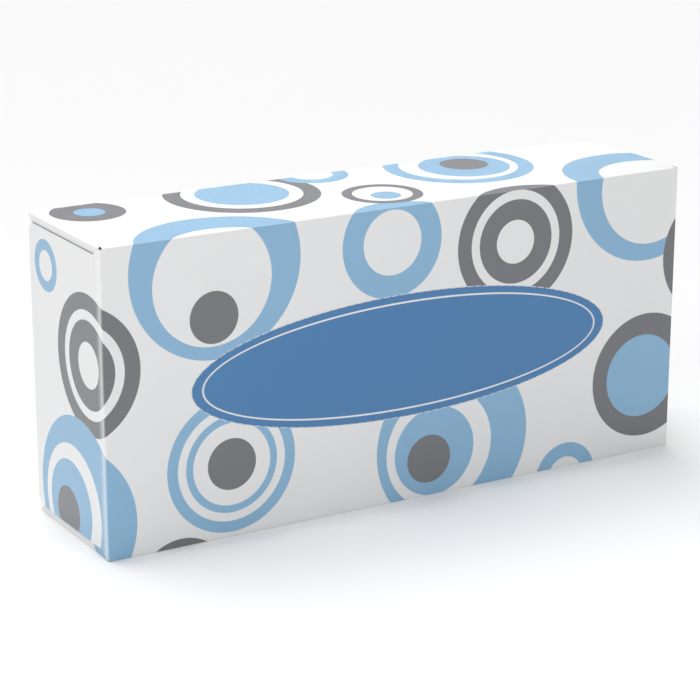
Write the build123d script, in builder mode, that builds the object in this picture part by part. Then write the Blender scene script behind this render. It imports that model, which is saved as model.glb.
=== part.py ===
from build123d import *
import os

# Flat tissue carton, sealed, standing on one of its long narrow panels. One sheet of folding board makes
# all of it: four long panels glued into a tube along the back of the base, and four flaps at each end,
# glued one over the other. X runs along the length, the dispensing face looks along -Y and Z is up, with
# the origin under the middle of the base. Sizes are in millimetres.

# Outside of the carton
length = 216.5  # over the outer flaps
height = 100.0  # base to top, as it stands
depth = 53.2  # dispensing face to back

# Board and its folds, by their outside radius
board = 0.4
panel_crease = 0.3  # along the four long edges
dust_crease = 0.6  # narrow panel into its dust flap
flap_crease = 0.55  # front panel into its outer flap, measured on the front panel
flap_ease = 4.0  # the same fold measured on the flap, which springs out a little beside it

# Glued lap along the back of the base
seam_rise = 0.7  # the back panel's raw edge, up from the base

# Dust flaps, in from the outside of the outer flap
top_inset = 0.15  # fold of the top panel
base_inset = 0.55  # fold of the base
dust_inset = 0.9  # both dust flaps, where the flaps over them hold them down
dust_run = 4.8  # how far each leans, from its fold to there

# Outer and inner flaps
flap_inset = 2.7  # outer flap's long edges, in from the top and the base
flap_start = 0.3  # its relief at the front fold, in from the top and the base
flap_lead = 1.0  # where the relief begins to slant, back from the front
flap_relief = 4.6  # where it meets the long edge, back from the front
flap_stop = 0.8  # its free edge, in from the back
flap_corner = 3.2  # radius of its two free corners
inner_reach = 40.0  # inner flap, from the back towards the front
slot_depth = 3.0  # relief of the inner flap's two long edges

# Hole at each front corner of the narrow panels
hole_start = 0.9  # along the front fold, in from the end
hole_depth = 1.55  # its point, in from the end
hole_reach = 2.65  # its point, back from the front
dust_gap = 0.8  # front to the edge of the dust flap

# Notch at each back corner of the narrow panels
notch_run = 3.75  # slant of the dust flap's edge, along its fold
notch_fall = 4.5  # the same slant, along the flap
notch_drop = 5.0  # along the back panel, to the inner flap
notch_reach = 1.7  # into the back panel, in from the end

# Perforated oval that tears out of the dispensing face
oval_length = 156.8
oval_height = 41.5
cut_length = 2.4
cut_pitch = 3.2
cut_width = 0.15

# Planes of the layers at the +X end, and the sides of the tube
outer_face = length / 2
inner_face = outer_face - board
dust_face = outer_face - dust_inset
base_fold = outer_face - base_inset
top_fold = outer_face - top_inset
front = -depth / 2
back = depth / 2
flap_end = back - flap_stop
fold_centre = (outer_face - flap_crease, front + flap_ease)

# Outer flap of the +X end, with its fold out of the front panel
with BuildPart() as outer_flap:
    with BuildSketch():
        with BuildLine():
            outside = EllipticalCenterArc(fold_centre, flap_crease, flap_ease, start_angle=270)
            inside = EllipticalCenterArc(fold_centre, flap_crease - board, flap_ease - board, start_angle=270)
            Polyline(outside @ 1, (outer_face, flap_end), (inner_face, flap_end), inside @ 1)
            Polyline(
                inside @ 0,
                (outer_face - 2 * hole_depth, front + board),
                (outer_face - 2 * hole_depth, front),
                outside @ 0,
            )
        make_face()
    extrude(amount=height)
    with BuildSketch(Plane.YZ) as outer_outline:
        with BuildLine():
            Polyline(
                (front - board, flap_start),
                (front + flap_lead, flap_start),
                (front + flap_relief, flap_inset),
                (flap_end, flap_inset),
                (flap_end, height - flap_inset),
                (front + flap_relief, height - flap_inset),
                (front + flap_lead, height - flap_start),
                (front - board, height - flap_start),
                close=True,
            )
        make_face()
        fillet(outer_outline.vertices().group_by(Axis.X)[-1], flap_corner)
    extrude(amount=length, mode=Mode.INTERSECT)

# Inner flap of the +X end, with its fold out of the back panel and the glue film under it
with BuildPart() as inner_flap:
    with BuildSketch() as inner_fold:
        with BuildLine():
            Polyline(
                (dust_face - board, back - inner_reach),
                (inner_face, back - inner_reach),
                (inner_face, back),
                (dust_face - board, back),
                close=True,
            )
        make_face()
        fillet(inner_fold.vertices().sort_by_distance((inner_face, back))[0], inner_face - dust_face)
    extrude(amount=height)
    with BuildSketch(Plane.YZ):
        with BuildLine():
            Polyline(
                (back + board, notch_drop),
                (back, notch_drop),
                (back - slot_depth, notch_drop + slot_depth),
                (front, notch_drop + slot_depth),
                (front, height - notch_drop - slot_depth),
                (back - slot_depth, height - notch_drop - slot_depth),
                (back, height - notch_drop),
                (back + board, height - notch_drop),
                close=True,
            )
        make_face()
    extrude(amount=length, mode=Mode.INTERSECT)

# Holes and notches at the four corners of the +X end
with BuildPart() as corner_cuts:
    with BuildSketch():
        with BuildLine():
            Polyline(
                (outer_face - hole_start, front - board),
                (outer_face - hole_start, front),
                (outer_face - hole_depth, front + hole_reach),
                (outer_face, front + dust_gap),
                (outer_face, front - board),
                close=True,
            )
        make_face()
    extrude(amount=height)
    with BuildSketch(Plane.YZ.offset(outer_face - notch_reach)):
        with BuildLine():
            Polyline(
                (back + notch_run, height + notch_fall),
                (back - notch_run, height - notch_fall),
                (back, height - notch_drop),
                (back + notch_run, height - notch_drop),
                close=True,
            )
        make_face()
        mirror(about=Plane.XZ.offset(-height / 2))
    extrude(amount=notch_reach)

# Edge of the oval, about its own centre
oval = EllipticalCenterArc((0, 0), oval_length / 2, oval_height / 2, arc_size=360)
cut_count = round(oval.length / cut_pitch)

with BuildPart() as carton:
    # Tube of the four long panels, with the raw edge of the back panel left short over the glued lap
    with BuildSketch(Plane.YZ.offset(-top_fold)) as tube:
        Rectangle(depth, height, align=(Align.CENTER, Align.MIN))
        with Locations((back, 0)):
            Rectangle(board, seam_rise, align=(Align.MAX, Align.MIN), mode=Mode.SUBTRACT)
        raw_edge = tube.vertices().filter_by_position(Axis.Y, seam_rise, seam_rise)
        fillet(tube.vertices() - raw_edge, panel_crease)
    extrude(amount=2 * top_fold)

    # Ends of the narrow panels, turned over into the dust flaps, which lean in under the other flaps
    with BuildSketch(Plane.XZ.offset(front)) as ends:
        with BuildLine():
            Polyline(
                (-base_fold, 0),
                (base_fold, 0),
                (dust_face, dust_run),
                (dust_face, height - dust_run),
                (top_fold, height),
                (-top_fold, height),
                (-dust_face, height - dust_run),
                (-dust_face, dust_run),
                close=True,
            )
        make_face()
        levels = ends.vertices().group_by(Axis.Y)
        fillet(levels[0] + levels[-1], dust_crease)
    extrude(amount=depth, mode=Mode.INTERSECT)

    # Both ends, cut at their corners and closed with the inner flap and then the outer flap
    add(corner_cuts.part, mode=Mode.SUBTRACT)
    mirror(corner_cuts.part, about=Plane.YZ, mode=Mode.SUBTRACT)
    for flap in (inner_flap.part, outer_flap.part):
        add(flap)
        mirror(flap, about=Plane.YZ)

    # Perforation round the oval, cut through the front panel
    with BuildSketch(Plane.XZ.offset(back)):
        for cut in range(cut_count):
            place = oval.position_at(cut / cut_count)
            with Locations((place.X, place.Y + height / 2)):
                Rectangle(cut_length, cut_width, rotation=oval.tangent_angle_at(cut / cut_count))
    extrude(amount=-board, mode=Mode.SUBTRACT)

carton.part.label = "carton"

os.makedirs("parts", exist_ok=True)
export_step(carton.part, "parts/carton.step")
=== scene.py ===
"""Looks of a sealed flat tissue carton, folded from one printed board blank, on a pale studio floor."""

import logging
import math
from dataclasses import dataclass, field
from enum import Enum, IntEnum
from functools import cached_property
from typing import Any

import bpy
from mathutils import Matrix, Vector
from mathutils.geometry import delaunay_2d_cdt


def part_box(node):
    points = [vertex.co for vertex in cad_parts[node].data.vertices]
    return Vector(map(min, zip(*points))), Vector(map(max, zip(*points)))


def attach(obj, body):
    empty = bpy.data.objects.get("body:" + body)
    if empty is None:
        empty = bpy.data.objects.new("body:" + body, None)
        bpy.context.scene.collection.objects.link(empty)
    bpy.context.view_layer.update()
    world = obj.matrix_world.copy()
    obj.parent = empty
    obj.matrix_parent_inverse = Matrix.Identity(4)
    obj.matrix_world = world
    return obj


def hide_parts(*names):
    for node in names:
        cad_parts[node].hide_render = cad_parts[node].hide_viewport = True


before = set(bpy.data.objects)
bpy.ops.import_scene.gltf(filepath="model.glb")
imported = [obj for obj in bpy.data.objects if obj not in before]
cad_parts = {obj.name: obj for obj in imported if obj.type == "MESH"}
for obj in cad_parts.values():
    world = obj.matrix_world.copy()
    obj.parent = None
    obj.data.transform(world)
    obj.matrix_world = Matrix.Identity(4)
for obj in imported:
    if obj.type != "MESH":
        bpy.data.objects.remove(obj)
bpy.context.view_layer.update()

log = logging.getLogger("tissue_carton")

MM = 0.001
BLANK_MAP = "Blank"
CREASE = "crease"
NOISE_MIDDLE = (0.25, 0.75)

Flat = tuple[float, float]
Point = tuple[float, float, float]
Colour = tuple[float, float, float, float]


@dataclass(frozen=True)
class Lumps:
    """A noise of a finish, and the values that it is spread over.

    Attributes:
        scale: Lumps to one unit of the coordinates.
        detail: Number of finer layers.
        roughness: Share of the finer layers.
        low: Value in its hollows.
        high: Value on its tops.
    """

    scale: float
    detail: float = 2.0
    roughness: float = 0.5
    low: float = 0.0
    high: float = 1.0


class Graph:
    """Adds the nodes of one shader tree and links them."""

    def __init__(self, tree: bpy.types.NodeTree) -> None:
        """Takes over a node tree and empties it."""
        self.tree = tree
        tree.nodes.clear()

    def add(self, kind: str, inputs: dict[str | int, Any] | None = None, **settings: Any) -> bpy.types.Node:
        """Adds one node.

        Args:
            kind: Blender's type name of the node.
            inputs: A socket to link from, or a plain value, for each input by its name or number.
            settings: Values of the node's own properties.

        Returns:
            The new node.
        """
        node = self.tree.nodes.new(kind)
        for name, value in settings.items():
            setattr(node, name, value)
        for name, value in (inputs or {}).items():
            if isinstance(value, bpy.types.NodeSocket):
                self.tree.links.new(value, node.inputs[name])
            else:
                node.inputs[name].default_value = value
        return node

    def maths(
        self, operation: str, first: Any, second: Any = 0.0, third: Any = 0.0, clamp: bool = False
    ) -> Any:
        """Adds a Math node.

        Args:
            operation: Blender's name of the sum.
            first: First number or socket.
            second: Second number or socket.
            third: Third number or socket.
            clamp: Keeps the result between 0 and 1.

        Returns:
            The socket of the result.
        """
        values = {0: first, 1: second, 2: third}
        return self.add("ShaderNodeMath", values, operation=operation, use_clamp=clamp).outputs[0]

    def vector(self, operation: str, first: Any, second: Any) -> bpy.types.Node:
        """Adds a Vector Math node of two vectors."""
        return self.add("ShaderNodeVectorMath", {0: first, 1: second}, operation=operation)

    def mix(self, share: Any, under: Any, over: Any, blend: str = "MIX") -> Any:
        """Adds a colour mix.

        Args:
            share: How much of the upper colour shows.
            under: Lower colour.
            over: Upper colour.
            blend: Blender's name of the way of mixing.

        Returns:
            The socket of the mixed colour.
        """
        values = {0: share, 6: under, 7: over}
        return self.add("ShaderNodeMix", values, data_type="RGBA", blend_type=blend).outputs[2]

    def noise(self, place: Any, lumps: Lumps) -> Any:
        """Adds a noise texture.

        Args:
            place: Socket of the coordinates.
            lumps: The noise.

        Returns:
            The socket of the noise, from 0 to 1.
        """
        values = {"Vector": place, "Scale": lumps.scale, "Detail": lumps.detail, "Roughness": lumps.roughness}
        return self.add("ShaderNodeTexNoise", values).outputs["Fac"]

    def spread(self, noise: Any, lumps: Lumps) -> Any:
        """Spreads the middle of a noise over its values.

        Args:
            noise: Socket of the noise.
            lumps: The noise, with its values.

        Returns:
            The socket of the value.
        """
        low, high = NOISE_MIDDLE
        values = {"Value": noise, 1: low, 2: high, 3: lumps.low, 4: lumps.high}
        return self.add("ShaderNodeMapRange", values, clamp=True).outputs[0]

    def lumpy(self, place: Any, lumps: Lumps) -> Any:
        """Adds a noise texture that is spread over its values."""
        return self.spread(self.noise(place, lumps), lumps)

    def bump(self, height: Any, strength: float, depth: float, under: Any = None) -> Any:
        """Adds a Bump node.

        Args:
            height: Socket of the height, from 0 to 1.
            strength: Share of the bump.
            depth: Height of the bump in metres.
            under: Socket of the normal that it lies on, if any.

        Returns:
            The socket of the bumped normal.
        """
        values = {"Strength": strength, "Distance": depth, "Height": height}
        if under is not None:
            values["Normal"] = under
        return self.add("ShaderNodeBump", values).outputs[0]

    def surface(self, values: dict[str | int, Any]) -> None:
        """Ends a material with a Principled shader of these inputs."""
        shader = self.add("ShaderNodeBsdfPrincipled", values)
        self.add("ShaderNodeOutputMaterial", {"Surface": shader.outputs[0]})


def new_material(name: str) -> tuple[bpy.types.Material, Graph]:
    """Starts a material.

    Args:
        name: Its name.

    Returns:
        The material and the graph of its nodes.
    """
    made = bpy.data.materials.new(name)
    made.use_nodes = True
    return made, Graph(made.node_tree)


class Ink(Enum):
    """Inks of the print, and the bare coated board."""

    BOARD = (0.86, 0.862, 0.868, 1.0)
    SKY = (0.265, 0.485, 0.7, 1.0)
    SLATE = (0.183, 0.186, 0.2, 1.0)
    OVAL = (0.062, 0.215, 0.459, 1.0)


@dataclass(frozen=True)
class Spot:
    """One inked disc of a ring motif.

    Attributes:
        radius: Radius of the disc in millimetres.
        ink: Ink of the disc.
        du: Offset of its centre along the blank.
        dv: Offset of its centre up the blank.
    """

    radius: float
    ink: Ink
    du: float = 0.0
    dv: float = 0.0


class Motif(Enum):
    """Families of rings in the print, each from its outermost disc to its innermost."""

    OFFSET_HOOP = (Spot(29.7, Ink.SKY), Spot(20.6, Ink.BOARD, -1.2, -4.7))
    DROP_HOOP = (Spot(29.7, Ink.SKY), Spot(20.6, Ink.BOARD, -1.2, -4.7), Spot(8.45, Ink.SLATE, -0.9, -16.0))
    LEAN_HOOP = (Spot(29.9, Ink.SKY), Spot(20.6, Ink.BOARD, 1.2, -3.5))
    NESTED = (
        Spot(29.5, Ink.SKY),
        Spot(20.5, Ink.BOARD, -5.3, -1.3),
        Spot(15.4, Ink.SKY, -7.2, -1.9),
        Spot(8.35, Ink.SLATE, -9.4, -4.3),
    )
    DOUBLE_RING = (
        Spot(22.7, Ink.SLATE),
        Spot(17.4, Ink.BOARD),
        Spot(14.25, Ink.SLATE),
        Spot(7.4, Ink.BOARD, -0.15, -0.05),
    )
    TARGET = (
        Spot(22.7, Ink.SKY),
        Spot(19.0, Ink.BOARD),
        Spot(16.15, Ink.SKY),
        Spot(13.7, Ink.BOARD),
        Spot(8.55, Ink.SLATE),
    )
    HOOP = (Spot(18.5, Ink.SKY), Spot(10.8, Ink.BOARD))
    EYE = (Spot(22.1, Ink.SLATE), Spot(14.7, Ink.SKY, -1.5, -0.1))
    SMALL_EYE = (Spot(12.1, Ink.SLATE), Spot(5.05, Ink.SKY, 0.4, -0.4))
    WIDE_EYE = (Spot(25.8, Ink.SLATE), Spot(20.0, Ink.BOARD), Spot(15.4, Ink.SKY))
    LOW_EYE = (Spot(13.3, Ink.SLATE), Spot(9.9, Ink.BOARD), Spot(4.95, Ink.SKY, -0.1, -2.4))
    MOON = (
        Spot(25.7, Ink.SKY),
        Spot(20.4, Ink.BOARD),
        Spot(15.65, Ink.SKY, 1.7, -1.1),
        Spot(8.35, Ink.SLATE, 3.3, 1.4),
    )
    DOT = (Spot(16.3, Ink.SLATE),)


@dataclass(frozen=True)
class Placed:
    """A ring motif at its place on the flat blank.

    Attributes:
        motif: Family of the rings.
        u: Place along the blank in millimetres, from the middle of the front panel.
        v: Place up the blank, from the foot of the front panel.
        size: Scale of the motif.
        turn: Turn of its offsets in degrees.
    """

    motif: Motif
    u: float
    v: float
    size: float = 1.0
    turn: float = 0.0

    def spots(self) -> list[tuple[Flat, float, Ink]]:
        """Centre, radius and ink of each disc on the blank."""
        c, s = math.cos(math.radians(self.turn)), math.sin(math.radians(self.turn))
        found = []
        for spot in self.motif.value:
            du, dv = c * spot.du - s * spot.dv, s * spot.du + c * spot.dv
            centre = (self.u + self.size * du, self.v + self.size * dv)
            found.append((centre, self.size * spot.radius, spot.ink))
        return found


@dataclass(frozen=True)
class RingPrint:
    """Print of the blank: rings in two inks, and a blue oval with a white inline over them.

    Attributes:
        oval_centre: Centre of the oval on the blank.
        oval_radii: Half axes of the oval.
        inline_radii: Half axes of the middle of the inline.
        inline_width: Width of the inline.
        edge: Width over which an ink's edge fades.
    """

    oval_centre: Flat = (0.0, 50.0)
    oval_radii: Flat = (78.4, 20.75)
    inline_radii: Flat = (74.5, 18.03)
    inline_width: float = 0.6
    edge: float = 0.12

    def layout(self) -> list[Placed]:
        """The motifs in the order of printing, over the front, the top, the ends, the base and the back."""
        front = [
            Placed(Motif.DROP_HOOP, -69.3, 89.2),
            Placed(Motif.DOUBLE_RING, -118.3, 61.0),
            Placed(Motif.NESTED, -127.5, 11.8),
            Placed(Motif.TARGET, -64.7, 24.35),
            Placed(Motif.DOT, -82.9, -13.5),
            Placed(Motif.HOOP, -5.9, 88.5),
            Placed(Motif.DOUBLE_RING, 41.7, 82.6),
            Placed(Motif.LEAN_HOOP, 95.6, 98.9),
            Placed(Motif.DOUBLE_RING, 125.8, 68.7),
            Placed(Motif.EYE, 97.0, 27.8),
            Placed(Motif.HOOP, 64.25, -3.65, 0.66),
            Placed(Motif.NESTED, 18.1, 17.1),
        ]
        top = [
            Placed(Motif.SMALL_EYE, -92.0, 143.3),
            Placed(Motif.WIDE_EYE, -38.5, 140.6),
            Placed(Motif.HOOP, -5.5, 153.2, 0.68),
            Placed(Motif.LOW_EYE, 1.0, 117.8),
            Placed(Motif.MOON, 44.3, 139.4),
        ]
        ends = [
            Placed(Motif.HOOP, -148.5, 85.5, 0.455),
            Placed(Motif.TARGET, 143.0, 22.0, 0.82),
            Placed(Motif.SMALL_EYE, 148.0, 93.0, 0.8),
        ]
        base = [
            Placed(Motif.DOUBLE_RING, -38.0, -38.0),
            Placed(Motif.LOW_EYE, 38.0, -33.0),
            Placed(Motif.MOON, 92.0, -36.0, 0.9),
        ]
        back = [
            Placed(Motif.NESTED, -74.0, 207.0, 1.0, 150.0),
            Placed(Motif.TARGET, -15.0, 216.0),
            Placed(Motif.EYE, 28.0, 185.0, 0.8),
            Placed(Motif.OFFSET_HOOP, 88.0, 190.0, 1.0, 60.0),
            Placed(Motif.DOUBLE_RING, 62.0, 235.0, 0.9),
            Placed(Motif.HOOP, 20.0, 243.0, 0.7),
            Placed(Motif.SMALL_EYE, -42.0, 181.0, 0.8),
            Placed(Motif.MOON, -112.0, 176.0, 0.8, 90.0),
            Placed(Motif.HOOP, -30.0, 250.0, 0.6),
            Placed(Motif.DOT, 108.0, 240.0, 0.9),
        ]
        return base + back + ends + front + top

    def shape(self) -> bpy.types.NodeTree:
        """Makes the node group that lays one inked ellipse over the colour under it.

        Returns:
            The node group.
        """
        group = bpy.data.node_groups.new("Inked shape", "ShaderNodeTree")
        graph = Graph(group)
        for name, kind in (
            ("Place", "Vector"),
            ("Centre", "Vector"),
            ("Radii", "Vector"),
            ("Edge", "Float"),
            ("Under", "Color"),
            ("Ink", "Color"),
        ):
            group.interface.new_socket(name=name, in_out="INPUT", socket_type="NodeSocket" + kind)
        group.interface.new_socket(name="Colour", in_out="OUTPUT", socket_type="NodeSocketColor")
        given = graph.add("NodeGroupInput").outputs
        from_centre = graph.vector("SUBTRACT", given["Place"], given["Centre"]).outputs["Vector"]
        in_radii = graph.vector("DIVIDE", from_centre, given["Radii"]).outputs["Vector"]
        reach = graph.add("ShaderNodeVectorMath", {0: in_radii}, operation="LENGTH").outputs["Value"]
        inside = graph.maths("SUBTRACT", 1.0, reach)
        cover = graph.maths("MULTIPLY_ADD", inside, given["Edge"], 0.5, clamp=True)
        graph.add("NodeGroupOutput", {"Colour": graph.mix(cover, given["Under"], given["Ink"])})
        return group

    def colour(self, graph: Graph, place: Any, board: Any) -> Any:
        """Lays the whole print over the bare board.

        Args:
            graph: Graph of the material.
            place: Socket of the place on the blank in millimetres.
            board: Socket of the bare board's colour.

        Returns:
            The socket of the printed colour.
        """
        shapes = [(centre, (r, r), ink) for motif in self.layout() for centre, r, ink in motif.spots()]
        (a, b), half = self.inline_radii, self.inline_width / 2
        shapes.append((self.oval_centre, self.oval_radii, Ink.OVAL))
        shapes.append((self.oval_centre, (a + half, b + half), Ink.BOARD))
        shapes.append((self.oval_centre, (a - half, b - half), Ink.OVAL))
        group = self.shape()
        for (u, v), radii, ink in shapes:
            values = {
                "Place": place,
                "Centre": (u, v, 0.0),
                "Radii": (*radii, 1.0),
                "Edge": min(radii) / self.edge,
                "Under": board,
                "Ink": ink.value,
            }
            board = graph.add("ShaderNodeGroup", values, node_tree=group).outputs["Colour"]
        return board


@dataclass(frozen=True)
class CoatedBoard:
    """Printed outside of the board: clay-coated, semi-gloss, with creases that are whitened, partly as worn
    ink and partly as a painted highlight, and burnished.

    Attributes:
        rings: Print of the blank.
        roughness: Roughness of the bare coating.
        ink_gloss: How much smoother the densest ink is.
        crease_wear_and_painted_highlight: Share of the ink that a sharp crease whitens, partly worn off and
            partly a painted highlight.
        crease_gloss: How much smoother a sharp crease is burnished.
        fibre: Colour of the board under worn ink, also the colour of the painted highlight along the creases.
        ior: Index of refraction of the coating.
        mottle: Faint mottle of the print.
        cloud: Broad drift of its tone.
        grain: Fine grain of its tone.
        crackle: Unevenness of the whitening and painted highlight along a crease.
        polish: Unevenness of the roughness.
        tooth: Fine tooth of the coating.
        tooth_strength: Share of the tooth's bump.
        tooth_depth: Depth of the tooth in metres.
        wave: Slight waviness of the board.
        wave_strength: Share of the waves' bump.
        wave_depth: Depth of the waves in metres.
    """

    rings: RingPrint = RingPrint()
    roughness: float = 0.32
    ink_gloss: float = 0.12
    crease_wear_and_painted_highlight: float = 0.68
    crease_gloss: float = 0.08
    fibre: Colour = (0.98, 0.98, 0.98, 1.0)
    ior: float = 1.5
    mottle: Lumps = Lumps(0.35, 4.0, 0.6, -0.006, 0.006)
    cloud: Lumps = Lumps(0.03, low=0.985, high=1.01)
    grain: Lumps = Lumps(3.2, 3.0, 0.65, -0.004, 0.004)
    crackle: Lumps = Lumps(1.6, 4.0, 0.7, 0.8, 1.0)
    polish: Lumps = Lumps(0.8, 3.0, low=-0.02, high=0.02)
    tooth: Lumps = Lumps(2.4, 3.0, 0.6)
    tooth_strength: float = 0.1
    tooth_depth: float = 0.00001
    wave: Lumps = Lumps(0.09, 1.0)
    wave_strength: float = 0.3
    wave_depth: float = 0.0002

    def material(self) -> bpy.types.Material:
        """Makes the material.

        Returns:
            The material.
        """
        made, graph = new_material("printed_board")
        place = graph.add("ShaderNodeUVMap", uv_map=BLANK_MAP).outputs["UV"]
        tint = graph.maths("ADD", graph.lumpy(place, self.mottle), graph.lumpy(place, self.cloud))
        printed = self.rings.colour(graph, place, Ink.BOARD.value)
        shade = graph.maths("ADD", tint, graph.lumpy(place, self.grain))
        shades = graph.add("ShaderNodeCombineColor", {0: shade, 1: shade, 2: shade}).outputs[0]
        toned = graph.mix(1.0, printed, shades, "MULTIPLY")
        # Whitening along the creases: partly worn ink, partly a painted highlight that is strongest on the
        # front fold.
        crease = graph.add("ShaderNodeAttribute", attribute_name=CREASE).outputs["Fac"]
        rubbed_and_painted_highlight = graph.maths("MULTIPLY", crease, graph.lumpy(place, self.crackle))
        colour = graph.mix(graph.maths("MULTIPLY", rubbed_and_painted_highlight, self.crease_wear_and_painted_highlight), toned, self.fibre)
        red = graph.add("ShaderNodeSeparateColor", {0: printed}).outputs[0]
        inked = graph.maths("SUBTRACT", 1.0, red, clamp=True)
        sheen = graph.maths("MULTIPLY_ADD", inked, -self.ink_gloss, self.roughness)
        rough = graph.maths("ADD", sheen, graph.lumpy(place, self.polish))
        rough = graph.maths("MULTIPLY_ADD", rubbed_and_painted_highlight, -self.crease_gloss, rough)
        tooth = graph.bump(graph.noise(place, self.tooth), self.tooth_strength, self.tooth_depth)
        normal = graph.bump(graph.noise(place, self.wave), self.wave_strength, self.wave_depth, tooth)
        graph.surface({"Base Color": colour, "Roughness": rough, "IOR": self.ior, "Normal": normal})
        return made


@dataclass(frozen=True)
class BareBoard:
    """Uncoated board, on the inside of the carton or along a cut edge.

    Attributes:
        name: Name of the material.
        pale: Colour of its pale fibres.
        dark: Colour of its dark fibres.
        scale: Fibre lumps to a metre.
        clumping: Scale of the clumps in its roughness, as a share of the fibres'.
        strength: Share of the tooth's bump.
        relief: Depth of its tooth in metres.
    """

    name: str
    pale: Colour
    dark: Colour
    scale: float = 1800.0
    clumping: float = 0.4
    strength: float = 0.5
    relief: float = 0.00006

    def material(self) -> bpy.types.Material:
        """Makes the material.

        Returns:
            The material.
        """
        made, graph = new_material(self.name)
        place = graph.add("ShaderNodeTexCoord").outputs["Object"]
        fibres = Lumps(self.scale, 4.0, 0.65)
        clumps = Lumps(self.scale * self.clumping, low=0.78, high=0.92)
        fibre = graph.noise(place, fibres)
        colour = graph.mix(graph.spread(fibre, fibres), self.dark, self.pale)
        rough = graph.lumpy(place, clumps)
        normal = graph.bump(fibre, self.strength, self.relief)
        graph.surface({"Base Color": colour, "Roughness": rough, "Normal": normal})
        return made


@dataclass(frozen=True)
class Bend:
    """One crease turned through a right angle, an elliptical arc on the outside of the board.

    Flat places are measured across the crease from where the two outside faces would meet.

    Attributes:
        before: Reach of the arc on the panel that it leaves.
        after: Reach of the arc on the panel that it enters.
        steps: Number of facets.
        tuck: How far the panel that it enters then leans in, under the flaps that hold it down.
        tuck_run: Length over which it leans.
        settle: Length of the strip past the lean in which its shading turns level.
        rub_and_painted_highlight: How much the crease is whitened, from 0 to 1, partly as worn ink and partly
            as a painted highlight.
        crest: Where it is whitened most, as a share of the reach after it.
        focus: How narrowly it is whitened.
    """

    before: float
    after: float
    steps: int = 6
    tuck: float = 0.0
    tuck_run: float = 1.0
    settle: float = 0.5
    rub_and_painted_highlight: float = 0.4
    crest: float = 0.2
    focus: float = 1.5

    @cached_property
    def square(self) -> float:
        """Turn at the end of the arc in radians."""
        return math.pi / 2 + math.atan2(self.tuck, self.tuck_run)

    @cached_property
    def samples(self) -> list[tuple[float, float, float, float]]:
        """Flat place, advance, drop and turn in radians at each edge of the facets."""
        even = [math.pi / 2 * step / self.steps for step in range(self.steps + 1)]
        turned = [math.atan2(self.before * math.sin(turn), self.after * math.cos(turn)) for turn in even]
        places = []
        for t in sorted({round(t, 6) for t in even + turned}):
            turn = math.atan2(self.after * math.sin(t), self.before * math.cos(t))
            lean = turn * self.square / (math.pi / 2)
            places.append((self.before * (math.sin(t) - 1), self.after * (1 - math.cos(t)), lean))
        runs = [0.0]
        for (x, y, _), (p, q, _) in zip(places, places[1:]):
            runs.append(runs[-1] + math.hypot(p - x, q - y))
        stretch = (self.before + self.after) / runs[-1]
        return [(run * stretch - self.before, *place) for run, place in zip(runs, places)]

    def lines(self) -> list[float]:
        """Flat places of the facets' edges."""
        stop = self.after + self.tuck_run
        tucked = [stop, stop + self.settle] if self.tuck else []
        return [sample[0] for sample in self.samples] + tucked

    def wear_and_painted_highlight(self, flat: float) -> float:
        """Whitening across the crease, partly worn ink and partly a painted highlight, strongest a little
        past it, and none beyond the ends of the arc.
        """
        crest = self.after * self.crest
        rise = (flat + self.before) / (crest + self.before)
        fall = (self.after - flat) / (self.after - crest)
        return self.rub_and_painted_highlight * max(0.0, min(rise, fall)) ** self.focus

    def at(self, flat: float) -> tuple[float, float, float]:
        """Finds a point across the crease.

        Args:
            flat: Its flat place.

        Returns:
            How far it is along the panel that it left, how far it dropped from that panel, and its turn in
            radians.
        """
        if flat <= -self.before:
            return flat, 0.0, 0.0
        if flat >= self.after:
            run = flat - self.after
            leaning = run < self.tuck_run + self.settle / 2
            turn = self.square if leaning else math.pi / 2
            return -self.tuck * min(run / self.tuck_run, 1.0), flat, turn
        for low, high in zip(self.samples, self.samples[1:]):
            if flat <= high[0]:
                share = (flat - low[0]) / (high[0] - low[0])
                break
        return tuple(a + (b - a) * share for a, b in zip(low[1:], high[1:]))


@dataclass(frozen=True)
class Corner:
    """A long crease of the tube, seen along the carton.

    Attributes:
        v: Place on the blank.
        at: Sharp corner in depth and height.
        way: Direction of the panel before it.
        out: Outward side of the panel before it.
        bend: Its arc.
    """

    v: float
    at: Vector
    way: Vector
    out: Vector
    bend: Bend


@dataclass(frozen=True)
class EndFold:
    """The crease from a long panel into its end flap.

    Attributes:
        low: Foot of the panel on the blank.
        high: Head of the panel on the blank.
        u: Place of the crease along the blank.
        bend: Its arc.
    """

    low: float
    high: float
    u: float
    bend: Bend


class Side(IntEnum):
    """Material slots of the folded sheet."""

    PRINTED = 0
    PLAIN = 1
    CUT = 2
    TORN = 3


@dataclass
class FlatMesh:
    """The blank cut into triangles.

    Attributes:
        points: Places on the blank.
        triangles: Corners of each triangle, anticlockwise from outside.
        burst: Whether each triangle is torn fibre beside a cut.
        pressed: Points along the cuts.
    """

    points: list[Flat]
    triangles: list[tuple[int, ...]]
    burst: list[bool]
    pressed: set[int]


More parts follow.
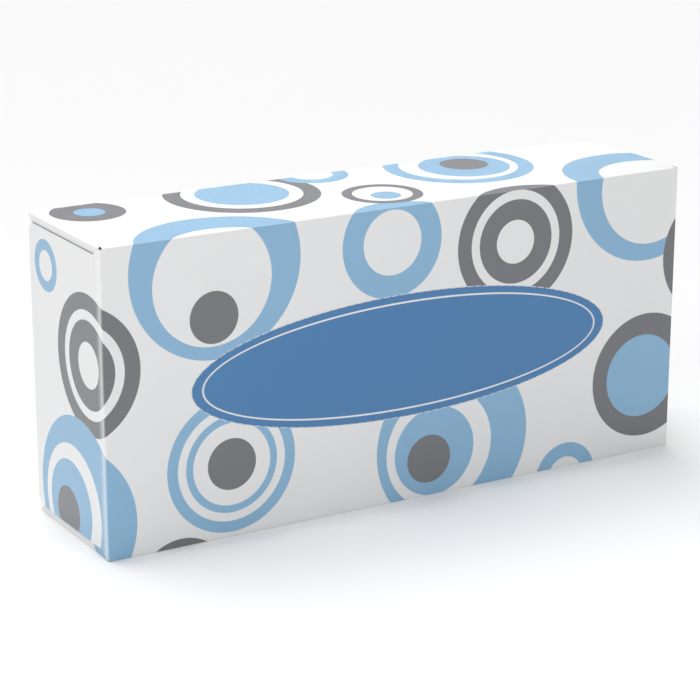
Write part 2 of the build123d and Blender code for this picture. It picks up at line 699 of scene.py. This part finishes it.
@dataclass
class Carton:
    """The folded carton. Lengths are in millimetres, on the outside of the board.

    Attributes:
        length: Over the outer flaps.
        height: Base to top, as it stands.
        depth: Front to back.
        rings: Print of the blank, whose oval the perforation follows.
        board: Thickness of the board.
        touch: Air left between two layers that are glued together.
        seam_rise: Raw edge of the back panel, up from the base.
        lap: Width of the glued lap inside the back panel.
        lap_slant: How far its ends slant in.
        lap_lead: Where the slant starts, down from the crease.
        crease: Reach of the sharp creases, on either panel.
        inner_crease: Reach of the crease into the inner flap, on either panel.
        flap_crease: Reach of the crease into the outer flap, on the front panel.
        flap_ease: The same on the flap, which springs out a little beside it.
        flap_facets: Facets of that crease.
        top_inset: Fold of the top panel into its dust flap, in from the outer flap.
        base_inset: Fold of the base into its dust flap, in from the outer flap.
        dust_inset: Dust flaps where the other flaps hold them down, in from the outer flap.
        dust_tuck_run: Length over which they lean in to there.
        flap_inset: Long edges of the outer flap, in from the top and the base.
        flap_start: Their relief on the front fold, in from the top and the base.
        flap_lead: How far the relief runs level along the flap.
        flap_relief: Where the relief ends along the flap.
        flap_stop: Its free edge, in from the back.
        flap_corner: Radius of its free corners.
        inner_reach: Reach of the inner flap.
        dust_reach: Reach of the dust flaps.
        dust_taper: How far each long edge of a dust flap closes in towards its end.
        dust_lead: Where its front edge turns, along the flap.
        slot_depth: Relief of the inner flap.
        hole_start: Hole at each front corner of the narrow panels, in from the end along the fold.
        hole_depth: Its point, in from the end.
        hole_reach: Its point, in from the front.
        dust_gap: Front face to the edge of a dust flap, at its fold.
        dust_slant: The same, where the outer flap covers it.
        notch_run: Slant of the dust flaps' back edges, along their fold.
        notch_slant: The same, down the flap.
        notch_lead: How far the dust fold's end runs down the back panel.
        notch_reach: How far the back panel is cut in at its corners.
        notch_turn: Where that cut turns back, down the back panel.
        notch_drop: Where it ends, at the inner flap.
        cut_length: Length of one cut of the perforation.
        cut_pitch: Spacing of the cuts.
        cut_width: Opening of a cut.
        cut_taper: Length over which a cut closes at each end.
        burst_length: How much longer the torn fibre is than its cut.
        burst_width: Width of the torn fibre round a cut.
        cut_press: How far the knife pressed in the edge of a cut.
        inside: Plain side of the board, grey chipboard darkened further as painted shade so that the holes at
            the corners look black.
        edge: Cut edge of the board, grey core darkened further as a painted shadow line along the flaps' cut
            edges.
        torn: Torn coating beside a cut.
    """

    length: float
    height: float
    depth: float
    rings: RingPrint = field(default_factory=RingPrint)
    board: float = 0.38
    touch: float = 0.02
    seam_rise: float = 0.7
    lap: float = 12.0
    lap_slant: float = 4.0
    lap_lead: float = 1.0
    crease: float = 0.3
    inner_crease: float = 0.7
    flap_crease: float = 0.55
    flap_ease: float = 4.0
    flap_facets: int = 8
    top_inset: float = 0.15
    base_inset: float = 0.55
    dust_inset: float = 0.85
    dust_tuck_run: float = 7.5
    flap_inset: float = 2.7
    flap_start: float = 0.3
    flap_lead: float = 1.0
    flap_relief: float = 4.6
    flap_stop: float = 0.8
    flap_corner: float = 3.2
    inner_reach: float = 40.0
    dust_reach: float = 34.0
    dust_taper: float = 2.0
    dust_lead: float = 1.2
    slot_depth: float = 3.0
    hole_start: float = 0.9
    hole_depth: float = 1.55
    hole_reach: float = 2.65
    dust_gap: float = 0.8
    dust_slant: float = 1.8
    notch_run: float = 3.75
    notch_slant: float = 4.5
    notch_lead: float = 0.6
    notch_reach: float = 1.7
    notch_turn: float = 4.2
    notch_drop: float = 5.0
    cut_length: float = 2.4
    cut_pitch: float = 3.2
    cut_width: float = 0.05
    cut_taper: float = 0.25
    burst_length: float = 0.3
    burst_width: float = 0.3
    cut_press: float = 0.03
    # Grey back of the board, darkened past its own tone as painted shade in the corner holes.
    inside: BareBoard = BareBoard("board_inside_and_painted_shade", (0.24, 0.23, 0.215, 1.0), (0.16, 0.155, 0.145, 1.0))
    # Grey core of the board, darkened past its own tone as a painted shadow line along the cut edges.
    edge: BareBoard = BareBoard("board_edge_and_painted_shadow", (0.15, 0.147, 0.14, 1.0), (0.09, 0.088, 0.085, 1.0), 2600.0)
    torn: BareBoard = BareBoard("torn_coating", (0.9, 0.9, 0.9, 1.0), (0.74, 0.75, 0.76, 1.0), 2600.0)

    @cached_property
    def corners(self) -> list[Corner]:
        """The four long creases, up the blank from the lap to the back panel."""
        crease = Bend(self.crease, self.crease)
        front, back = -self.depth / 2, self.depth / 2
        lap = back - self.board - self.touch
        y, z = Vector((0.0, 1.0, 0.0)), Vector((0.0, 0.0, 1.0))
        return [
            Corner(front - lap, y * lap, -z, y, crease),
            Corner(0.0, y * front, -y, -z, crease),
            Corner(self.height, y * front + z * self.height, z, -y, crease),
            Corner(self.height + self.depth, y * back + z * self.height, y, z, crease),
        ]

    @cached_property
    def end_folds(self) -> list[EndFold]:
        """The creases into the end flaps: base, front, top and back."""
        lap, foot, head, back = (corner.v for corner in self.corners)
        outer = self.length / 2
        base, top = (
            Bend(self.crease, self.crease, tuck=self.dust_inset - inset, tuck_run=self.dust_tuck_run)
            for inset in (self.base_inset, self.top_inset)
        )
        # The front fold takes the full whitening, which here is a painted highlight along its eased arc.
        front = Bend(self.flap_crease, self.flap_ease, self.flap_facets, rub_and_painted_highlight=1.0)
        inner = Bend(self.inner_crease, self.inner_crease)
        return [
            EndFold(lap - self.lap, foot, outer - self.base_inset, base),
            EndFold(foot, head, outer, front),
            EndFold(head, back, outer - self.top_inset, top),
            EndFold(back, back + self.height, outer - self.board - self.touch, inner),
        ]

    def fold(self, u: float, v: float) -> tuple[Vector, Vector, float]:
        """Folds one point of the blank.

        Args:
            u: Its place along the blank.
            v: Its place up the blank.

        Returns:
            Its place on the outside of the carton, its outward normal, and its whitening from worn ink and
            painted highlight, from 0 to 1.
        """
        corner = min(self.corners, key=lambda c: abs(c.v - v))
        along, drop, turn = corner.bend.at(v - corner.v)
        place = corner.at + corner.way * along - corner.out * drop
        out = corner.way * math.sin(turn) + corner.out * math.cos(turn)
        end = next((e for e in self.end_folds if e.low <= v <= e.high), self.end_folds[-1])
        reach, sink, lean = end.bend.at(abs(u) - end.u)
        side = Vector((math.copysign(1.0, u), 0.0, 0.0))
        place = place + side * (end.u + reach) - out * sink
        normal = side * math.sin(lean) + out * math.cos(lean)
        return place, normal, max(corner.bend.wear_and_painted_highlight(v - corner.v), end.bend.wear_and_painted_highlight(abs(u) - end.u))

    def outline(self) -> list[Flat]:
        """Draws the cut edge of the blank.

        Returns:
            Its corners, anticlockwise.
        """
        lap, foot, head, back = (corner.v for corner in self.corners)
        base_fold, front_fold, top_fold, back_fold = (end.u for end in self.end_folds)
        hole_start, hole_point = front_fold - self.hole_start, front_fold - self.hole_depth
        run, slant, drop, slot = self.notch_run, self.notch_slant, self.notch_drop, self.slot_depth
        lead, relief = front_fold + self.flap_lead, front_fold + self.flap_relief
        foot_of_back = back + self.height
        taper, inner_end = self.dust_taper, back_fold + self.inner_reach
        flap_end = front_fold + self.depth - self.flap_stop
        cut_back = top_fold - self.notch_reach
        right = [
            (cut_back - self.lap_slant, lap - self.lap),
            (cut_back, lap - self.lap_lead),
            (cut_back, lap),
            (base_fold, lap),
            (base_fold + slant, lap + run),
            (base_fold + self.dust_reach, lap + run + taper),
            (base_fold + self.dust_reach, foot - self.dust_slant - taper),
            (base_fold + self.dust_lead, foot - self.dust_slant),
            (base_fold, foot - self.dust_gap),
            (hole_point, foot - self.hole_reach),
            (hole_start, foot),
            (hole_start, foot + self.flap_start),
            (lead, foot + self.flap_start),
            (relief, foot + self.flap_inset),
            *self.flap_corner_arc(flap_end, foot + self.flap_inset, -90.0),
            *self.flap_corner_arc(flap_end, head - self.flap_inset, 0.0),
            (relief, head - self.flap_inset),
            (lead, head - self.flap_start),
            (hole_start, head - self.flap_start),
            (hole_start, head),
            (hole_point, head + self.hole_reach),
            (top_fold, head + self.dust_gap),
            (top_fold + self.dust_lead, head + self.dust_slant),
            (top_fold + self.dust_reach, head + self.dust_slant + taper),
            (top_fold + self.dust_reach, back - run - taper),
            (top_fold + slant, back - run),
            (top_fold, back),
            (top_fold, back + self.notch_lead),
            (cut_back, back + self.notch_turn),
            (back_fold, back + drop),
            (back_fold + slot, back + drop + slot),
            (inner_end, back + drop + slot),
            (inner_end, foot_of_back - drop - slot),
            (back_fold + slot, foot_of_back - drop - slot),
            (back_fold, foot_of_back - drop),
            (cut_back, foot_of_back - self.notch_turn),
            (cut_back, foot_of_back - self.seam_rise),
        ]
        return right + [(-u, v) for u, v in reversed(right)]

    def flap_corner_arc(self, end: float, edge: float, start: float) -> list[Flat]:
        """Rounds one free corner of the outer flap.

        Args:
            end: Free edge of the flap along the blank.
            edge: Long edge of the flap up the blank.
            start: Angle where the arc starts, in degrees.

        Returns:
            The points of the arc.
        """
        r, steps = self.flap_corner, 8
        u, v = end - r, edge + (r if start < 0 else -r)
        angles = [math.radians(start + 90.0 * step / steps) for step in range(steps + 1)]
        return [(u + r * math.cos(angle), v + r * math.sin(angle)) for angle in angles]

    def cuts(self) -> list[tuple[Flat, float]]:
        """Spaces the perforation along the oval.

        Returns:
            The middle of each cut, and its direction in radians.
        """
        (u, v), (a, b) = self.rings.oval_centre, self.rings.oval_radii
        fine = 7200
        angles = [2 * math.pi * step / fine for step in range(fine + 1)]
        runs = [0.0]
        for p, q in zip(angles, angles[1:]):
            du, dv = a * (math.cos(q) - math.cos(p)), b * (math.sin(q) - math.sin(p))
            runs.append(runs[-1] + math.hypot(du, dv))
        count = round(runs[-1] / self.cut_pitch)
        found, step = [], 0
        for cut in range(count):
            while runs[step] < runs[-1] * cut / count:
                step += 1
            c, s = math.cos(angles[step]), math.sin(angles[step])
            found.append(((u + a * c, v + b * s), math.atan2(b * c, -a * s)))
        return found

    def lozenge(self, middle: Flat, way: float, length: float, width: float) -> list[Flat]:
        """Draws a long hexagon round one cut.

        Args:
            middle: Its middle on the blank.
            way: Its direction in radians.
            length: Its length.
            width: Its width.

        Returns:
            Its corners, anticlockwise.
        """
        half, shoulder, side = length / 2, length / 2 - self.cut_taper, width / 2
        c, s = math.cos(way), math.sin(way)
        upper = [(half, 0), (shoulder, side), (-shoulder, side)]
        shape = upper + [(-p, -q) for p, q in upper]
        return [(middle[0] + c * p - s * q, middle[1] + s * p + c * q) for p, q in shape]

    def flat_mesh(self) -> FlatMesh:
        """Cuts the blank into triangles along its creases, its edge and its perforation.

        Returns:
            The triangles of the blank.
        """
        points: list[Vector] = []
        edges: list[tuple[int, int]] = []
        loops: list[list[int]] = []

        def loop(corners: list[Flat]) -> None:
            """Adds a closed outline."""
            loops.append(list(range(len(points), len(points) + len(corners))))
            points.extend(Vector(corner) for corner in corners)

        def line(start: Flat, stop: Flat) -> None:
            """Adds a crease line."""
            edges.append((len(points), len(points) + 1))
            points.extend((Vector(start), Vector(stop)))

        loop(self.outline())
        cuts = self.cuts()
        for middle, way in cuts:
            loop(self.lozenge(middle, way, self.cut_length + self.burst_length, self.burst_width))
        knife_start = len(points)
        for middle, way in cuts:
            loop(self.lozenge(middle, way, self.cut_length, self.cut_width))
        knife_stop = len(points)
        past, clear, nearest = 2.0, 0.01, 1e-4
        reach = self.length / 2 + past
        for corner in self.corners:
            for offset in corner.bend.lines():
                line((-reach, corner.v + offset), (reach, corner.v + offset))
        for end in self.end_folds:
            for offset in end.bend.lines():
                for u in (-end.u - offset, end.u + offset):
                    line((u, end.low + clear), (u, end.high - clear))
        flat, _, faces, old_points, _, old_faces = delaunay_2d_cdt(points, edges, loops, 0, nearest, True)
        knives = range(1 + len(cuts), 1 + 2 * len(cuts))
        kept, burst = [], []
        for face, inside in zip(faces, old_faces):
            if 0 in inside and not any(shape in knives for shape in inside):
                kept.append(tuple(face))
                burst.append(len(inside) > 1)
        used = sorted({point for face in kept for point in face})
        number = {point: place for place, point in enumerate(used)}
        knife = range(knife_start, knife_stop)
        pressed = {number[point] for point in used if any(old in knife for old in old_points[point])}
        triangles = [tuple(number[point] for point in face) for face in kept]
        return FlatMesh([tuple(flat[point]) for point in used], triangles, burst, pressed)

    def mesh(self) -> bpy.types.Mesh:
        """Folds the blank and gives it the thickness of the board.

        Returns:
            The closed sheet, with its sides in the material slots.
        """
        blank = self.flat_mesh()
        folded = [self.fold(u, v) for u, v in blank.points]
        count = len(folded)
        outside = [
            place - normal * (self.cut_press if point in blank.pressed else 0.0)
            for point, (place, normal, _) in enumerate(folded)
        ]
        inside = [place - normal * self.board for place, normal, _ in folded]
        faces: list[tuple[int, ...]] = []
        slots: list[int] = []
        normals: list[Vector] = []
        for face, torn in zip(blank.triangles, blank.burst):
            faces.append(face)
            slots.append(Side.TORN if torn else Side.PRINTED)
            normals.extend(folded[point][1] for point in face)
        for face in blank.triangles:
            turned = tuple(reversed(face))
            faces.append(tuple(point + count for point in turned))
            slots.append(Side.PLAIN)
            normals.extend(-folded[point][1] for point in turned)
        sides = {(face[i], face[(i + 1) % 3]) for face in blank.triangles for i in range(3)}
        for a, b in sorted(side for side in sides if side[::-1] not in sides):
            faces.append((b, a, a + count, b + count))
            slots.append(Side.CUT)
            across = (outside[a] - outside[b]).cross(inside[b] - outside[b]).normalized()
            normals.extend([across] * 4)
        made = bpy.data.meshes.new("carton_board")
        made.from_pydata([place * MM for place in outside + inside], [], faces)
        made.polygons.foreach_set("material_index", slots)
        made.shade_smooth()
        made.normals_split_custom_set(normals)
        blank_map = made.uv_layers.new(name=BLANK_MAP)
        for corner in made.loops:
            blank_map.data[corner.index].uv = blank.points[corner.vertex_index % count]
        # Whitening of each point on the outside, partly worn ink and partly painted highlight.
        crease = made.attributes.new(CREASE, "FLOAT", "POINT")
        crease.data.foreach_set("value", [rubbed_and_painted_highlight for _, _, rubbed_and_painted_highlight in folded] + [0.0] * count)
        return made

    def build(self) -> bpy.types.Object:
        """Makes the carton, dresses it and puts it in the frame.

        Returns:
            The carton.
        """
        made = self.mesh()
        finishes = {
            Side.PRINTED: CoatedBoard(self.rings),
            Side.PLAIN: self.inside,
            Side.CUT: self.edge,
            Side.TORN: self.torn,
        }
        for side in Side:
            made.materials.append(finishes[side].material())
        carton = bpy.data.objects.new("folded_carton", made)
        bpy.context.scene.collection.objects.link(carton)
        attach(carton, "root")
        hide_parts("carton")
        log.info("%s: %d triangles", carton.name, sum(len(face.vertices) - 2 for face in made.polygons))
        return carton


@dataclass(frozen=True)
class FloorPaint:
    """Matt white floor of the studio.

    Attributes:
        pale: Its colour.
        shade: Its colour in the faint patches.
        patches: The patches.
        matt: Its roughness.
    """

    pale: Colour = (0.9, 0.9, 0.9, 1.0)
    shade: Colour = (0.89, 0.89, 0.89, 1.0)
    patches: Lumps = Lumps(3.0)
    matt: Lumps = Lumps(40.0, low=0.75, high=0.85)

    def material(self) -> bpy.types.Material:
        """Makes the material.

        Returns:
            The material.
        """
        made, graph = new_material("studio_floor")
        place = graph.add("ShaderNodeTexCoord").outputs["Object"]
        colour = graph.mix(graph.lumpy(place, self.patches), self.shade, self.pale)
        graph.surface({"Base Color": colour, "Roughness": graph.lumpy(place, self.matt)})
        return made


@dataclass(frozen=True)
class SoftBox:
    """A soft light with a rectangular front that looks at a point.

    Attributes:
        name: Name of the light.
        place: Where it hangs, in metres.
        aim: Where it looks.
        width: Width of its front.
        tall: Height of its front.
        power: Its power in watts.
        spread: Width of its beam in degrees.
    """

    name: str
    place: Point
    aim: Point
    width: float
    tall: float
    power: float
    spread: float = 180.0

    def build(self) -> bpy.types.Object:
        """Hangs the light.

        Returns:
            The light.
        """
        lamp = bpy.data.lights.new(self.name, "AREA")
        lamp.shape, lamp.size, lamp.size_y, lamp.energy = "RECTANGLE", self.width, self.tall, self.power
        lamp.spread = math.radians(self.spread)
        light = bpy.data.objects.new(self.name, lamp)
        light.location = self.place
        light.visible_camera = False
        way = Vector(self.aim) - Vector(self.place)
        light.rotation_euler = way.to_track_quat("-Z", "Y").to_euler()
        bpy.context.scene.collection.objects.link(light)
        return light


@dataclass(frozen=True)
class Studio:
    """Floor, light and camera.

    Attributes:
        floor_size: Side of the floor in metres.
        sky: Strength of the even light from all round.
        overhead: Strength of the broad light from above.
        overhead_spread: Width of that light in degrees.
        overhead_from: Direction that it comes from.
        boxes: The soft lights.
        target: Point in the middle of the picture.
        distance: Camera to that point.
        azimuth: Camera's side, in degrees from straight in front.
        elevation: Camera's height in degrees.
        roll: Camera's roll in degrees.
        lens: Focal length in millimetres.
        sensor: Width of the sensor in millimetres.
        near: Nearest distance that it sees, in metres.
    """

    floor_size: float = 12.0
    sky: float = 0.52
    overhead: float = 1.86
    overhead_spread: float = 50.0
    overhead_from: Point = (-0.1, 0.35, 0.93)
    boxes: tuple[SoftBox, ...] = (
        SoftBox("key_box", (-0.22, -0.2, 0.42), (-0.06, -0.03, 0.08), 0.25, 0.25, 0.4),
        SoftBox("top_box", (0.0, 0.01, 0.5), (0.0, 0.01, 0.1), 0.24, 0.05, 0.014, 20.0),
    )
    target: Point = (-0.0059, 0.0, 0.0456)
    distance: float = 0.803
    azimuth: float = -30.64
    elevation: float = 17.19
    roll: float = 0.1
    lens: float = 124.07
    sensor: float = 36.0
    near: float = 0.01

    def lay_floor(self) -> bpy.types.Object:
        """Lays the floor.

        Returns:
            The floor.
        """
        half = self.floor_size / 2
        corners = [(-half, -half, 0.0), (half, -half, 0.0), (half, half, 0.0), (-half, half, 0.0)]
        made = bpy.data.meshes.new("studio_floor")
        made.from_pydata(corners, [], [(0, 1, 2, 3)])
        made.materials.append(FloorPaint().material())
        floor = bpy.data.objects.new("studio_floor", made)
        bpy.context.scene.collection.objects.link(floor)
        return floor

    def light(self) -> None:
        """Sets the light from all round, the broad light from above and the soft boxes."""
        scene = bpy.context.scene
        scene.view_settings.view_transform = "Standard"
        world = bpy.data.worlds.new("studio")
        world.use_nodes = True
        graph = Graph(world.node_tree)
        sky = graph.add("ShaderNodeBackground", {"Color": (1.0, 1.0, 1.0, 1.0), "Strength": self.sky})
        graph.add("ShaderNodeOutputWorld", {"Surface": sky.outputs[0]})
        scene.world = world
        lamp = bpy.data.lights.new("overhead", "SUN")
        lamp.energy, lamp.angle = self.overhead, math.radians(self.overhead_spread)
        above = bpy.data.objects.new("overhead", lamp)
        above.rotation_euler = (-Vector(self.overhead_from)).to_track_quat("-Z", "Y").to_euler()
        scene.collection.objects.link(above)
        for box in self.boxes:
            box.build()

    def aim_camera(self) -> bpy.types.Object:
        """Sets the camera at the photograph's angle.

        Returns:
            The camera.
        """
        az, el, roll = (math.radians(angle) for angle in (self.azimuth, self.elevation, self.roll))
        back = Vector((math.sin(az) * math.cos(el), -math.cos(az) * math.cos(el), math.sin(el)))
        right = Vector((math.cos(az), math.sin(az), 0.0))
        up = back.cross(right)
        across = right * math.cos(roll) + up * math.sin(roll)
        up = up * math.cos(roll) - right * math.sin(roll)
        lens = bpy.data.cameras.new("camera")
        lens.lens, lens.sensor_width, lens.clip_start = self.lens, self.sensor, self.near
        camera = bpy.data.objects.new("camera", lens)
        turn = Matrix((across, up, back)).transposed().to_4x4()
        camera.matrix_world = Matrix.Translation(Vector(self.target) + back * self.distance) @ turn
        bpy.context.scene.collection.objects.link(camera)
        bpy.context.scene.camera = camera
        return camera

    def build(self) -> None:
        """Sets up the whole studio."""
        floor = self.lay_floor()
        self.light()
        camera = self.aim_camera()
        log.info("%s and %s", floor.name, camera.name)


def main() -> None:
    """Builds the carton and the studio."""
    logging.basicConfig(level=logging.INFO, format="%(name)s: %(message)s")
    low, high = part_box("carton")
    length, depth, height = (high - low) / MM
    Carton(length, height, depth).build()
    Studio().build()


if __name__ == "__main__":
    main()
